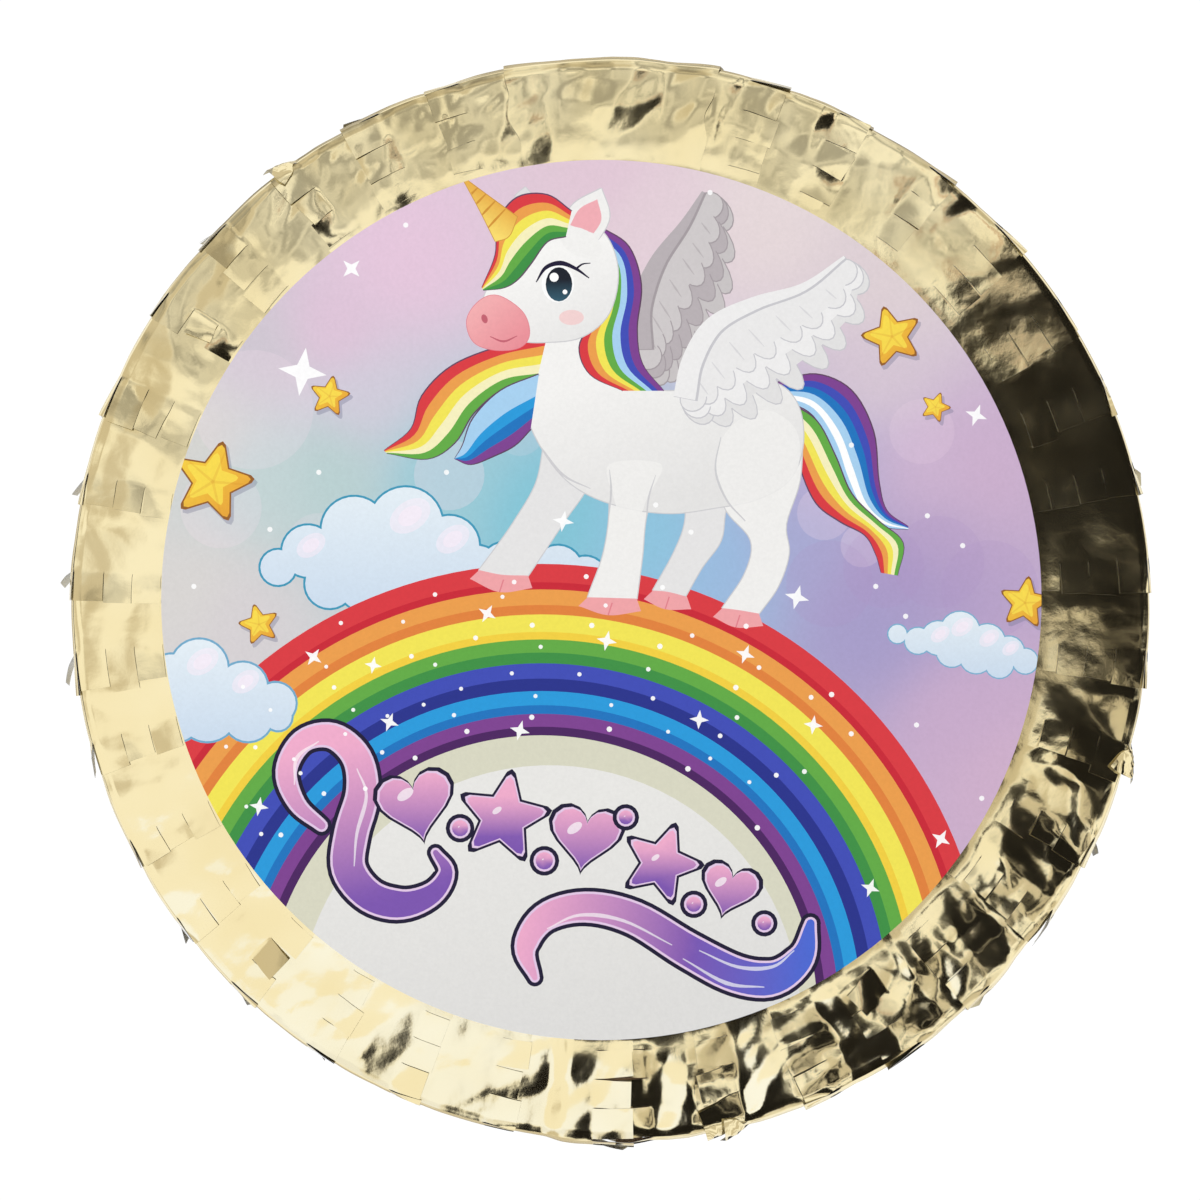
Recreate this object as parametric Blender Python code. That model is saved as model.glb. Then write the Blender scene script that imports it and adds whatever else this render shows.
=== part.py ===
"""A round pinata: a flat drum of corrugated board with a printed disc on its front, a fill flap in
its back and overlapping strips of metallised film wrapped round its rim.

Metres, +Z up. The front faces -Y. The origin is the hanging point: the outer surface of the side
wall at 12 o'clock, midway between the two cord holes. Angles round the drum are clockwise from
12 o'clock, seen from the front.
"""

import math

import bmesh
import bpy
from mathutils import Matrix, Vector

# Driving dimensions
OVERALL_RADIUS = 0.200
OVERALL_DEPTH = 0.090
BOARD = 0.003
PAPER = 0.0005
FOIL = 0.0003
GAP = 0.0003

# Every turned piece has the same facets, so that neighbours stay parallel
FACETS = 72
FACET_ANGLE = 2 * math.pi / FACETS

# Film strips: each spans three facets, and the next one down starts two facets on, under it
STRIP_FACETS = 3
PITCH_FACETS = 2
STRIPS_A_SIDE = 17
RISE_PER_FACET = 0.0004
FOIL_INNER_RADIUS = 0.154
STRIP_MEETING_ANGLE = math.radians(0.2)
FOIL_HEIGHT = GAP + STRIP_FACETS * RISE_PER_FACET + FOIL

# Printed disc
PRINT_RADIUS = 0.162
PRINT_RIM = 0.001
PRINT_OFFSET_X = -0.0035
PRINT_CORE_RADIUS = FOIL_INNER_RADIUS + PRINT_OFFSET_X - 0.001

# Drum shell
WALL_RADIUS = OVERALL_RADIUS - FOIL_HEIGHT
WALL_INNER_RADIUS = WALL_RADIUS - BOARD
HALF_WIDTH = OVERALL_DEPTH / 2 - (FOIL_HEIGHT + GAP + PRINT_RIM)
DRUM_CENTRE = Vector((0, 0, -WALL_RADIUS))
PANEL_RADIUS = WALL_INNER_RADIUS - GAP
SEAM_WIDTH = 0.0006

# Chipboard pieces glued inside the shell
CHIPBOARD = 0.001
CORNER_LEG = 0.015
CORNER_NOTCHES = 24
NOTCH_HALF_WIDTH = 0.004
LINER_HALF_WIDTH = 0.023
LINER_FACETS = 2
HANGER_PLATE = 0.002

# Holes for the hanging cord
CORD_HOLE_RADIUS = 0.004
CORD_HOLE_X = 0.018

# Back cover and fill flap
COVER_RADIUS = 0.161
COVER_FLAT_RADIUS = 0.150
COVER_STEP = 0.0025
FLAP_HALF_WIDTH = 0.045
FLAP_HEIGHT = 0.078
FLAP_CLEARANCE = 0.0008
FLAP_CORNER = 0.008
HINGE_ABOVE_CENTRE = 0.125
SEAL_RADIUS = 0.020
COVER_Y = HALF_WIDTH + GAP


def material(name, colour, roughness, metallic=0.0):
    made = bpy.data.materials.new(name)
    made.use_nodes = True
    shader = made.node_tree.nodes["Principled BSDF"]
    shader.inputs["Base Color"].default_value = (*colour, 1)
    shader.inputs["Roughness"].default_value = roughness
    shader.inputs["Metallic"].default_value = metallic
    made.diffuse_color = (*colour, 1)
    return made


def add_object(name, mesh_builder, finish, parent=None):
    """Makes a named object of a bmesh, with its normals outwards and round faces shaded smooth."""
    bmesh.ops.recalc_face_normals(mesh_builder, faces=mesh_builder.faces)
    mesh = bpy.data.meshes.new(name)
    mesh_builder.to_mesh(mesh)
    mesh_builder.free()
    mesh.shade_smooth()
    mesh.set_sharp_from_angle(angle=math.radians(30))
    if finish:
        mesh.materials.append(finish)
    made = bpy.data.objects.new(name, mesh)
    bpy.context.scene.collection.objects.link(made)
    made.parent = parent
    return made


def turned(name, profile, finish, parent):
    """Turns (radius, y) points about the drum's axis. A profile that starts and ends on the axis
    makes a disc, and any other is closed and makes a ring."""
    builder = bmesh.new()
    points = [builder.verts.new((0, y, radius)) for radius, y in profile]
    edges = [builder.edges.new(pair) for pair in zip(points, points[1:])]
    if profile[0][0] > 0:
        edges.append(builder.edges.new((points[-1], points[0])))
    bmesh.ops.spin(
        builder, geom=points + edges, cent=(0, 0, 0), axis=(0, 1, 0), dvec=(0, 0, 0),
        angle=2 * math.pi, steps=FACETS, use_merge=True,
    )
    bmesh.ops.remove_doubles(builder, verts=builder.verts, dist=1e-6)
    return add_object(name, builder, finish, parent)


def swept(name, sections, finish, parent):
    """Joins closed sections, each a list of points, into one capped strip."""
    builder = bmesh.new()
    rings = []
    for section in sections:
        points = [builder.verts.new(point) for point in section]
        loop = zip(points, points[1:] + points[:1])
        rings.append((points, [builder.edges.new(pair) for pair in loop]))
    for (_, near), (_, far) in zip(rings, rings[1:]):
        bmesh.ops.bridge_loops(builder, edges=near + far)
    for points, _ in (rings[0], rings[-1]):
        builder.faces.new(points)
    return add_object(name, builder, finish, parent)


def on_drum(angle, radius, y):
    """A point in the drum's own frame, whose origin is the drum's centre."""
    return Vector((radius * math.sin(angle), y, radius * math.cos(angle)))


def plate(name, outline, low_y, high_y, finish, parent=None):
    """Extrudes an outline of (x, z) points along Y."""
    builder = bmesh.new()
    face = builder.faces.new([builder.verts.new((x, low_y, z)) for x, z in outline])
    grown = bmesh.ops.extrude_face_region(builder, geom=[face])["geom"]
    moved = [item for item in grown if isinstance(item, bmesh.types.BMVert)]
    bmesh.ops.translate(builder, verts=moved, vec=(0, high_y - low_y, 0))
    return add_object(name, builder, finish, parent)


def cylinder(name, radius, length, turn, place, finish=None, parent=None, sides=20):
    builder = bmesh.new()
    bmesh.ops.create_cone(
        builder, cap_ends=True, segments=sides, radius1=radius, radius2=radius, depth=length,
        matrix=Matrix.Translation(place) @ turn,
    )
    return add_object(name, builder, finish, parent)


def cut(target, cutter):
    """Cuts one object with another, which is then only a guide."""
    cutter.hide_render = True
    cutter.display_type = "WIRE"
    cutter.parent = target.parent
    boolean = target.modifiers.new("cut " + cutter.name, "BOOLEAN")
    boolean.operation = "DIFFERENCE"
    boolean.solver = "EXACT"
    boolean.object = cutter


def arc_strip(name, outer_radius, thickness, centre_angle, half_width, finish, parent):
    """A thin curved piece lying inside the wall, LINER_FACETS to each side of centre_angle."""
    sections = []
    for station in range(-LINER_FACETS, LINER_FACETS + 1):
        angle = centre_angle + station * FACET_ANGLE
        corners = (
            (outer_radius, -half_width),
            (outer_radius, half_width),
            (outer_radius - thickness, half_width),
            (outer_radius - thickness, -half_width),
        )
        sections.append([on_drum(angle, radius, y) for radius, y in corners])
    return swept(name, sections, finish, parent)


def foil_section(angle, rise):
    """A U round the rim at one angle, from under the printed disc to under the back cover."""
    corners = []
    for lift in (rise, rise + FOIL):
        radius, y = WALL_RADIUS + lift, HALF_WIDTH + lift
        leg = [(FOIL_INNER_RADIUS, -y), (radius, -y), (radius, y), (FOIL_INNER_RADIUS, y)]
        corners += leg if lift == rise else leg[::-1]
    return [on_drum(angle, radius, y) for radius, y in corners]


def make_foil_strips(foil, drum):
    """Shingles the rim from the top, so that each strip's lower end lies over the next one."""
    for side, sign in (("right", 1), ("left", -1)):
        for number in range(STRIPS_A_SIDE):
            first = 1 + number * PITCH_FACETS
            sections = []
            for step in range(STRIP_FACETS + 1):
                angle = min((first + step) * FACET_ANGLE, math.pi - STRIP_MEETING_ANGLE)
                sections.append(foil_section(sign * angle, GAP + step * RISE_PER_FACET))
            swept(f"foil_strip_{side}_{number + 1:02d}", sections, foil, drum)


def make_foil_cap(foil, drum, cord_holes):
    """The top strip lies over the first strip of each side."""
    sections = []
    for step in range(-PITCH_FACETS, PITCH_FACETS + 1):
        rise = GAP + (abs(step) + 1) * RISE_PER_FACET
        sections.append(foil_section(step * FACET_ANGLE, rise))
    cap = swept("foil_cap", sections, foil, drum)
    for hole in cord_holes:
        cut(cap, hole)


def make_cord_hole_cutters(drum):
    cutters = []
    for side, sign in (("right", 1), ("left", -1)):
        place = Vector((sign * CORD_HOLE_X, 0, WALL_RADIUS))
        name = f"cord_hole_{side}"
        cutters.append(
            cylinder(name, CORD_HOLE_RADIUS, 4 * CORNER_LEG, Matrix(), place, parent=drum, sides=16)
        )
    return cutters


def make_side_wall(board, drum, cord_holes):
    profile = [
        (WALL_RADIUS, -HALF_WIDTH),
        (WALL_RADIUS, HALF_WIDTH),
        (WALL_INNER_RADIUS, HALF_WIDTH),
        (WALL_INNER_RADIUS, -HALF_WIDTH),
    ]
    wall = turned("side_wall", profile, board, drum)
    half = SEAM_WIDTH / 2
    low, high = -WALL_RADIUS - BOARD, -WALL_INNER_RADIUS + BOARD
    seam = plate(
        "wall_seam", [(-half, low), (half, low), (half, high), (-half, high)],
        -OVERALL_DEPTH, OVERALL_DEPTH, None,
    )
    for cutter in (seam, *cord_holes):
        cut(wall, cutter)


def make_corner_strip(name, side, chipboard, drum):
    """An angle ring in the corner between the wall and a panel, its panel leg notched so that it
    bends round. side is -1 at the front and 1 at the back."""
    outer = WALL_INNER_RADIUS - GAP
    face = HALF_WIDTH - BOARD - GAP
    profile = [
        (outer, side * face),
        (outer, side * (face - CORNER_LEG)),
        (outer - CHIPBOARD, side * (face - CORNER_LEG)),
        (outer - CHIPBOARD, side * (face - CHIPBOARD)),
        (outer - CORNER_LEG, side * (face - CHIPBOARD)),
        (outer - CORNER_LEG, side * face),
    ]
    ring = turned(name, profile, chipboard, drum)
    tip, mouth = outer - 4 * CHIPBOARD, outer - CORNER_LEG - 2 * CHIPBOARD
    near, far = sorted((side * (face - 2 * CHIPBOARD), side * (face + CHIPBOARD)))
    builder = bmesh.new()
    for number in range(CORNER_NOTCHES):
        # Half a facet on, so that no notch's tip lies on a facet's edge
        angle = (number * FACETS / CORNER_NOTCHES + 0.5) * FACET_ANGLE
        turn = Matrix.Rotation(angle, 4, "Y")
        corners = ((0, tip), (NOTCH_HALF_WIDTH, mouth), (-NOTCH_HALF_WIDTH, mouth))
        ends = [[builder.verts.new(turn @ Vector((x, y, z))) for x, z in corners] for y in (near, far)]
        for end in ends:
            builder.faces.new(end)
        for first, second in ((0, 1), (1, 2), (2, 0)):
            builder.faces.new((ends[0][first], ends[0][second], ends[1][second], ends[1][first]))
    cut(ring, add_object(name + "_notches", builder, None))


def flap_outline(grow):
    """The flap's outline from its hinge down, wider by grow on every side."""
    half, top = FLAP_HALF_WIDTH + grow, grow
    bottom = -FLAP_HEIGHT - grow
    radius = FLAP_CORNER + grow
    outline = [(-half, top), (half, top)]
    for centre_x, start in ((half - radius, 0), (radius - half, -math.pi / 2)):
        for step in range(6):
            angle = start - step * math.pi / 10
            outline.append(
                (centre_x + radius * math.cos(angle), bottom + radius + radius * math.sin(angle))
            )
    return outline


def make_back(board, white_paper, drum):
    """The back panel and its paper cover, both open for the flap."""
    hinge_z = HINGE_ABOVE_CENTRE
    opening = plate(
        "flap_opening", [(x, z + hinge_z) for x, z in flap_outline(FLAP_CLEARANCE / 2)],
        HALF_WIDTH - 2 * BOARD, OVERALL_DEPTH, None,
    )
    inner = HALF_WIDTH - BOARD
    panel_profile = [(0, inner), (PANEL_RADIUS, inner), (PANEL_RADIUS, HALF_WIDTH), (0, HALF_WIDTH)]
    rim_y = HALF_WIDTH + FOIL_HEIGHT + GAP
    cover_profile = [
        (0, COVER_Y),
        (COVER_FLAT_RADIUS, COVER_Y),
        (COVER_FLAT_RADIUS + COVER_STEP, rim_y),
        (COVER_RADIUS, rim_y),
        (COVER_RADIUS, rim_y + PAPER),
        (COVER_FLAT_RADIUS + COVER_STEP - PAPER / 2, rim_y + PAPER),
        (COVER_FLAT_RADIUS - PAPER / 2, COVER_Y + PAPER),
        (0, COVER_Y + PAPER),
    ]
    for name, profile, finish in (
        ("back_panel", panel_profile, board),
        ("back_cover", cover_profile, white_paper),
    ):
        cut(turned(name, profile, finish, drum), opening)


def make_front(board, print_card, drum):
    inner = HALF_WIDTH - BOARD
    profile = [(0, -HALF_WIDTH), (PANEL_RADIUS, -HALF_WIDTH), (PANEL_RADIUS, -inner), (0, -inner)]
    turned("front_panel", profile, board, drum)
    front_y = -OVERALL_DEPTH / 2
    rim_y = front_y + PRINT_RIM
    profile = [
        (0, front_y),
        (PRINT_RADIUS, front_y),
        (PRINT_RADIUS, rim_y),
        (PRINT_CORE_RADIUS, rim_y),
        (PRINT_CORE_RADIUS, -HALF_WIDTH - GAP),
        (0, -HALF_WIDTH - GAP),
    ]
    turned("print_disc", profile, print_card, drum).location.x = PRINT_OFFSET_X


def make_flap(board, white_paper, foil, hinge):
    """The flap, its paper and the seal that closes it, all turning about the hinge's empty, which
    lies in the paper's outer surface."""
    outline = flap_outline(-FLAP_CLEARANCE / 2)
    board_y = -PAPER - GAP
    plate("fill_flap", outline, board_y - BOARD, board_y, board, hinge)
    plate("flap_cover", outline, -PAPER, 0, white_paper, hinge)
    lower_edge = Vector((0, GAP + FOIL / 2, -FLAP_HEIGHT))
    along_y = Matrix.Rotation(math.pi / 2, 4, "X")
    cylinder("flap_seal", SEAL_RADIUS, FOIL, along_y, lower_edge, foil, hinge, sides=32)


def add_empty(name, place, parent=None):
    empty = bpy.data.objects.new(name, None)
    bpy.context.scene.collection.objects.link(empty)
    empty.location = place
    empty.parent = parent
    return empty


def main():
    for old in list(bpy.data.objects):
        bpy.data.objects.remove(old)

    board = material("corrugated_board", (0.42, 0.27, 0.14), 0.9)
    chipboard = material("grey_chipboard", (0.33, 0.29, 0.24), 0.9)
    white_paper = material("white_paper", (0.82, 0.81, 0.78), 0.8)
    print_card = material("printed_card", (0.66, 0.56, 0.68), 0.35)
    foil = material("gold_film", (0.86, 0.74, 0.42), 0.15, 1.0)

    drum = add_empty("drum_centre", DRUM_CENTRE)
    hinge_place = Vector((0, COVER_Y + PAPER, HINGE_ABOVE_CENTRE))
    hinge = add_empty("flap_hinge", hinge_place, drum)
    cord_holes = make_cord_hole_cutters(drum)

    make_side_wall(board, drum, cord_holes)
    make_front(board, print_card, drum)
    make_back(board, white_paper, drum)
    make_flap(board, white_paper, foil, hinge)
    make_corner_strip("front_corner_strip", -1, chipboard, drum)
    make_corner_strip("back_corner_strip", 1, chipboard, drum)
    inside_wall = WALL_INNER_RADIUS - GAP
    arc_strip("wall_splice", inside_wall, CHIPBOARD, math.pi, LINER_HALF_WIDTH, chipboard, drum)
    plate_made = arc_strip(
        "hanger_plate", inside_wall, HANGER_PLATE, 0, LINER_HALF_WIDTH, chipboard, drum
    )
    for hole in cord_holes:
        cut(plate_made, hole)
    make_foil_cap(foil, drum, cord_holes)
    make_foil_strips(foil, drum)
    bpy.context.view_layer.update()


main()
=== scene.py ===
"""Looks of the round foil pinata: crumpled gold film strips with cut tabs, a printed front disc,
the papered back with its fill flap, and the board inside. Metres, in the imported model's frame."""

import math
import random
from functools import partial

import bpy
import numpy as np
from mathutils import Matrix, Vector, geometry


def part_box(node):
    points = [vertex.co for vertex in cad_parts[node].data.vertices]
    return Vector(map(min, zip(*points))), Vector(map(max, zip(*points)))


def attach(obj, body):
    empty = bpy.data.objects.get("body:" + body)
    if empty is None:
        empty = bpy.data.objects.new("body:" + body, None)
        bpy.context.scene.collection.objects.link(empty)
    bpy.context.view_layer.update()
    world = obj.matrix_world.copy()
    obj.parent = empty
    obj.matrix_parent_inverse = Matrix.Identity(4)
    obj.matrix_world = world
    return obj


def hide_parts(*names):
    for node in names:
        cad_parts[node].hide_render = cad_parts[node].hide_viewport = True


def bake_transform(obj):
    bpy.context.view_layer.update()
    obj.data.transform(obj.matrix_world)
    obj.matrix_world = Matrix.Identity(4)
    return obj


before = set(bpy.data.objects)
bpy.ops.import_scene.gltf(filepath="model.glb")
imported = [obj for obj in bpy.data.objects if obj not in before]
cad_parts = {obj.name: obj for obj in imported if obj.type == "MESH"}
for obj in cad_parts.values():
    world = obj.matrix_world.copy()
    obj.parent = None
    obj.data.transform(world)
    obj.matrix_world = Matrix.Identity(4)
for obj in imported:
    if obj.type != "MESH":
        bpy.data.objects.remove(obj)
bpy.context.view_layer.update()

# ---------------------------------------------------------------- places, from the frame
wall_low, wall_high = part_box("side_wall")
WALL_RADIUS = (wall_high.x - wall_low.x) / 2
CENTRE_Z = (wall_high.z + wall_low.z) / 2
HALF_WIDTH = wall_high.y
print_low, print_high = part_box("print_disc")
PRINT_X = (print_low.x + print_high.x) / 2
PRINT_RADIUS = (print_high.x - print_low.x) / 2
PRINT_Y = print_low.y
PRINT_BACK = print_high.y
MM = 0.001

# ---------------------------------------------------------------- film strips
FILM = 0.00012
CLEARANCE = 0.0002
RIM_RADIUS = WALL_RADIUS + CLEARANCE
RIM_HALF = HALF_WIDTH + CLEARANCE
RIM_CORNER = 0.0014
FILM_INNER_RADIUS = 0.1555
FILM_LEG = RIM_RADIUS - RIM_CORNER - FILM_INNER_RADIUS
FILM_ARC = RIM_CORNER * math.pi / 2
FILM_LENGTH = 2 * (FILM_LEG + FILM_ARC + RIM_HALF - RIM_CORNER)

STRIPS = 17
STRIP_ANGLE = math.radians(15)
STRIP_PITCH = math.radians(10)
FIRST_STRIP = math.radians(5)
STRIP_WIDTH = RIM_RADIUS * STRIP_ANGLE
UNEVEN_WIDTH = (-0.004, 0.0005)
SLANT = 0.03
ROW = 0.0013
LAYER = 0.0009
LAP = 0.008
LAP_HEIGHT = 0.0014
PRESSED = 0.0017
RISE = 0.16

TABS = 16
TAB_COLUMNS = 8
COLUMNS = TABS * TAB_COLUMNS + 1
TAB_LENGTH = (0.0115, 0.0165)
RAGGED = (0.06, 0.14)
SLIT_SHARE = 0.035
FLAT_END = 0.010
# How far tabs turn, in radians or in shares of their lift, and what bent ones have on top
CURL, CURL_SPREAD, YAW, TWIST = 0.2, 1.2, 0.035, 1.7
BENT_LIFT, BENT_CURL, BENT_YAW, BENT_TWIST = (0.05, 0.40), (-0.2, 0.6), (-0.45, 0.45), (-0.3, 0.3)

CAP_HALF_ANGLE = math.radians(11.5)
CAP_HEIGHT = 0.0017
CAP_EDGE = 0.0006
CORD_HOLE_X = 0.018
CORD_HOLE_RADIUS = 0.004

# Wavelengths of the folds in the film
LARGE_FOLDS = (0.044, 0.029, 0.019)
SMALL_FOLDS = (0.0125, 0.0085, 0.0060)
PLEATS = (0.021, 0.014)
OWN_FOLDS = (0.034, 0.022)


def new_mesh(name, points, faces, rounded=False):
    mesh = bpy.data.meshes.new(name)
    mesh.from_pydata(points, [], faces)
    if rounded:
        mesh.shade_smooth()
    return mesh


def grid_faces(rows, columns):
    """The quads between rows of points, each row with so many columns of them."""
    starts = [row * columns + column for row in range(rows) for column in range(columns - 1)]
    return [(a, a + 1, a + columns + 1, a + columns) for a in starts]


def smooth(value, low, high):
    """0 below low, 1 above high and a smooth step between."""
    share = np.clip((value - low) / (high - low), 0, 1)
    return share * share * (3 - 2 * share)


def rim_path(s):
    """Radius, y and outward normal at distance s along a strip, front end to back end."""
    side = np.where(s <= FILM_LENGTH / 2, -1.0, 1.0)
    near = np.minimum(s, FILM_LENGTH - s)
    turn = np.clip((near - FILM_LEG) / RIM_CORNER, 0, math.pi / 2)
    along = np.maximum(near - FILM_LEG - FILM_ARC, 0)
    radius = FILM_INNER_RADIUS + np.minimum(near, FILM_LEG) + RIM_CORNER * np.sin(turn)
    y = side * (RIM_HALF - RIM_CORNER * (1 - np.cos(turn)) - along)
    return radius, y, np.sin(turn), side * np.cos(turn)


def settle(s, h):
    """Presses the film down towards its ends, where the print lies over it, layer on layer."""
    near = np.minimum(s, FILM_LENGTH - s)
    room = PRESSED + RISE * np.maximum(near - (PRINT_RADIUS - FILM_INNER_RADIUS), 0)
    return room * (1 - np.exp(-h / room))


def on_rim(s, t, h, start, side):
    """Points h above the rim, s along a strip and t round the drum from the angle start."""
    radius, y, out_radius, out_y = rim_path(s)
    h = settle(s, h)
    radius = radius + h * out_radius
    angle = start + t / RIM_RADIUS
    return np.stack(
        [side * radius * np.sin(angle), y + h * out_y, CENTRE_Z + radius * np.cos(angle)], axis=-1
    )


def triangle_wave(x):
    """A zigzag between -1 and 1 with a period of 1."""
    return 4 * np.abs(x - np.floor(x + 0.5)) - 1


def creases(s, t, rng, wavelengths):
    """Crumpled film, as heights with unit slope: zigzag folds in random directions, so that flat
    facets meet at sharp lines."""
    height = np.zeros_like(s)
    for wavelength in wavelengths:
        direction = rng.uniform(0, math.pi)
        across = s * math.cos(direction) + t * math.sin(direction)
        along = t * math.cos(direction) - s * math.sin(direction)
        bend = 0.30 * np.sin(along / wavelength * rng.uniform(0.8, 2.0) + rng.uniform(0, 6.28))
        wave = triangle_wave(across / wavelength + bend + rng.uniform(0, 1))
        height += wavelength / 4 * (1 + wave)
    return height


# Round the drum in degrees clockwise from the top, as seen from the front: how steep the film's
# large and small creases are, how far its tabs stand up, and how many of them are bent
STYLE_CLOCK = [
    -180, -170, -150, -125, -100, -75, -60, -40, -20, 0, 20, 35, 50, 62, 80, 100, 118, 140, 165, 180
]
STYLE_LARGE = [40, 15, 16, 16, 15, 17, 24, 28, 32, 32, 28, 16, 10, 4, 4, 7, 50, 66, 52, 40]
STYLE_SMALL = [24, 10, 7, 6, 3, 4, 8, 12, 20, 18, 18, 8, 5, 3, 2, 4, 18, 30, 30, 26]
STYLE_LIFT = [50, 30, 26, 22, 26, 36, 60, 60, 40, 24, 34, 30, 12, 6, 5, 10, 40, 60, 56, 54]
STYLE_BENT = [24, 18, 14, 12, 20, 28, 34, 26, 16, 6, 8, 12, 10, 4, 3, 5, 22, 28, 30, 28]
WALL_LIFT = 0.045
WALL_BENT = 0.10
PER_MILLE = 0.001
PER_CENT = 0.01


def style_at(clock, values, unit):
    return np.interp(clock, STYLE_CLOCK, values) * unit


def crumple(s, t_global):
    """Height of the crumples that all the layers share, at s along the film and t_global round the
    drum, positive clockwise."""
    rng = random.Random(5)
    clock = np.degrees(t_global / RIM_RADIUS)
    near_end = np.minimum(s, FILM_LENGTH - s)
    clear_of_print = 0.25 + 0.75 * smooth(near_end, 0.002, 0.030)
    large = creases(s, t_global, rng, LARGE_FOLDS)
    small = creases(s, t_global, rng, SMALL_FOLDS)
    # The small folds come in patches
    patches = 0.5 + 0.5 * np.sin(s * 140 + 3 * np.sin(t_global * 45)) * np.sin(t_global * 120 + 1.0)
    # Pleats run nearly straight in towards the print
    pleats = creases(s * 0.10, t_global, rng, PLEATS)
    pleats *= smooth(near_end, FILM_LEG * 1.1, 0.0)
    steep = style_at(clock, STYLE_LARGE, PER_MILLE)
    fine = style_at(clock, STYLE_SMALL, PER_MILLE)
    height = steep * (large + 0.6 * pleats) + fine * small * patches
    return clear_of_print * height


def layer_offset(t):
    """A strip starts on the board, under the strip above, and ends over the strip below."""
    return CLEARANCE + LAYER * np.clip(t / STRIP_WIDTH, 0, 1.3)


def own_creases(s, t, seed, steep):
    """Creases of one strip only, where nothing lies over it."""
    rng = random.Random(seed)
    near_end = np.minimum(s, FILM_LENGTH - s)
    free = smooth(t, 0.012, 0.022) * smooth(near_end, 0.006, 0.014)
    return free * steep * creases(s, t, rng, OWN_FOLDS) * 0.5


def tab_rows(base_s, base_t, length, rng, lift_mean, bent):
    """A tab's rows beyond its base, in strip coordinates: where each point is and how high it
    stands over the film's surface there."""
    rows = max(4, int(round(length / ROW)))
    middle = (base_s[0] + base_s[-1]) / 2
    lateral = (base_s - middle) * (1 - SLIT_SHARE)
    at_end = min(base_s[0], FILM_LENGTH - base_s[-1]) < FLAT_END
    on_wall = FILM_LEG < base_s[0] and base_s[-1] < FILM_LENGTH - FILM_LEG
    if on_wall:
        lift_mean = max(lift_mean, WALL_LIFT)
    lift = abs(rng.gauss(0, lift_mean))
    curl = rng.gauss(CURL, CURL_SPREAD) * lift_mean
    yaw = rng.gauss(0, YAW)
    twist = rng.gauss(0, TWIST) * lift_mean
    if bent and not at_end:
        lift += rng.uniform(*BENT_LIFT) * (2.0 if on_wall else 1.0)
        curl += rng.uniform(*BENT_CURL)
        yaw += rng.uniform(*BENT_YAW)
        twist += rng.uniform(*BENT_TWIST)
    if at_end:
        lift, curl, twist = lift * 0.2, 0.0, 0.0
    step = length / rows
    along, height = 0.0, 0.0
    out = []
    for row in range(1, rows + 1):
        u = row / rows
        pitch = lift + curl * u
        along += step * math.cos(pitch)
        height = max(height + step * math.sin(pitch), 0.0)
        swing = yaw * float(smooth(np.array(u), 0, 0.6))
        a = lateral * math.cos(swing) + along * math.sin(swing)
        b = along * math.cos(swing) - lateral * math.sin(swing)
        up = height + lateral * math.sin(twist * u)
        out.append((middle + a, base_t + b, up + max(0.0, -up.min())))
    return out


def strip_mesh(name, start, side, seed, lapping):
    """One strip of film: a body with a tab between each pair of slits along its lower end. The
    last one laps over its neighbour at the bottom."""
    rng = random.Random(seed)
    clock = side * math.degrees(start + STRIP_PITCH)
    steep = float(style_at(clock, STYLE_LARGE, PER_MILLE))
    lift_mean = float(style_at(clock, STYLE_LIFT, PER_MILLE))
    bent_share = float(style_at(clock, STYLE_BENT, PER_CENT))
    slant = rng.gauss(0, SLANT)
    ragged = rng.uniform(*RAGGED)
    full_width = STRIP_WIDTH + (LAP if lapping else 0)

    def place(s, t, up=0.0):
        """Points on the film's surface at strip coordinates, or up above it."""
        shared = crumple(s, side * (start * RIM_RADIUS + t))
        height = layer_offset(t) + shared + own_creases(s, t, seed, steep)
        lapped = LAP_HEIGHT * smooth(t, width - 4 * LAP, width - 3 * LAP) if lapping else 0.0
        return on_rim(s, t, height + lapped + up, start, side)

    length = rng.uniform(*TAB_LENGTH)
    width = full_width + rng.uniform(*UNEVEN_WIDTH)
    body_rows = int(round((width - length) / ROW))
    line = np.linspace(0, FILM_LENGTH, COLUMNS)
    s, t = np.meshgrid(line, np.linspace(0, width - length, body_rows + 1))
    t = t + slant * (s - FILM_LENGTH / 2) * t / width
    points = [place(s, t).reshape(-1, 3)]
    faces = grid_faces(body_rows, COLUMNS)
    count = s.size
    last = body_rows * COLUMNS
    for first in range(0, TABS * TAB_COLUMNS, TAB_COLUMNS):
        picked = slice(first, first + TAB_COLUMNS + 1)
        behind = line[first] > FILM_LEG
        bent = rng.random() < (max(1.5 * bent_share, WALL_BENT) if behind else 0.6 * bent_share)
        tab_length = length * rng.uniform(1 - ragged, 1 + ragged)
        above = [last + first + k for k in range(TAB_COLUMNS + 1)]
        for tab_s, tab_t, up in tab_rows(s[-1, picked], t[-1, picked], tab_length, rng, lift_mean, bent):
            points.append(place(tab_s, tab_t, up))
            below = [count + k for k in range(TAB_COLUMNS + 1)]
            faces += zip(above, above[1:], below[1:], below)
            above = below
            count += TAB_COLUMNS + 1
    if side > 0:
        faces = [face[::-1] for face in faces]
    return new_mesh(name, np.concatenate(points).tolist(), faces, rounded=True)


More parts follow.
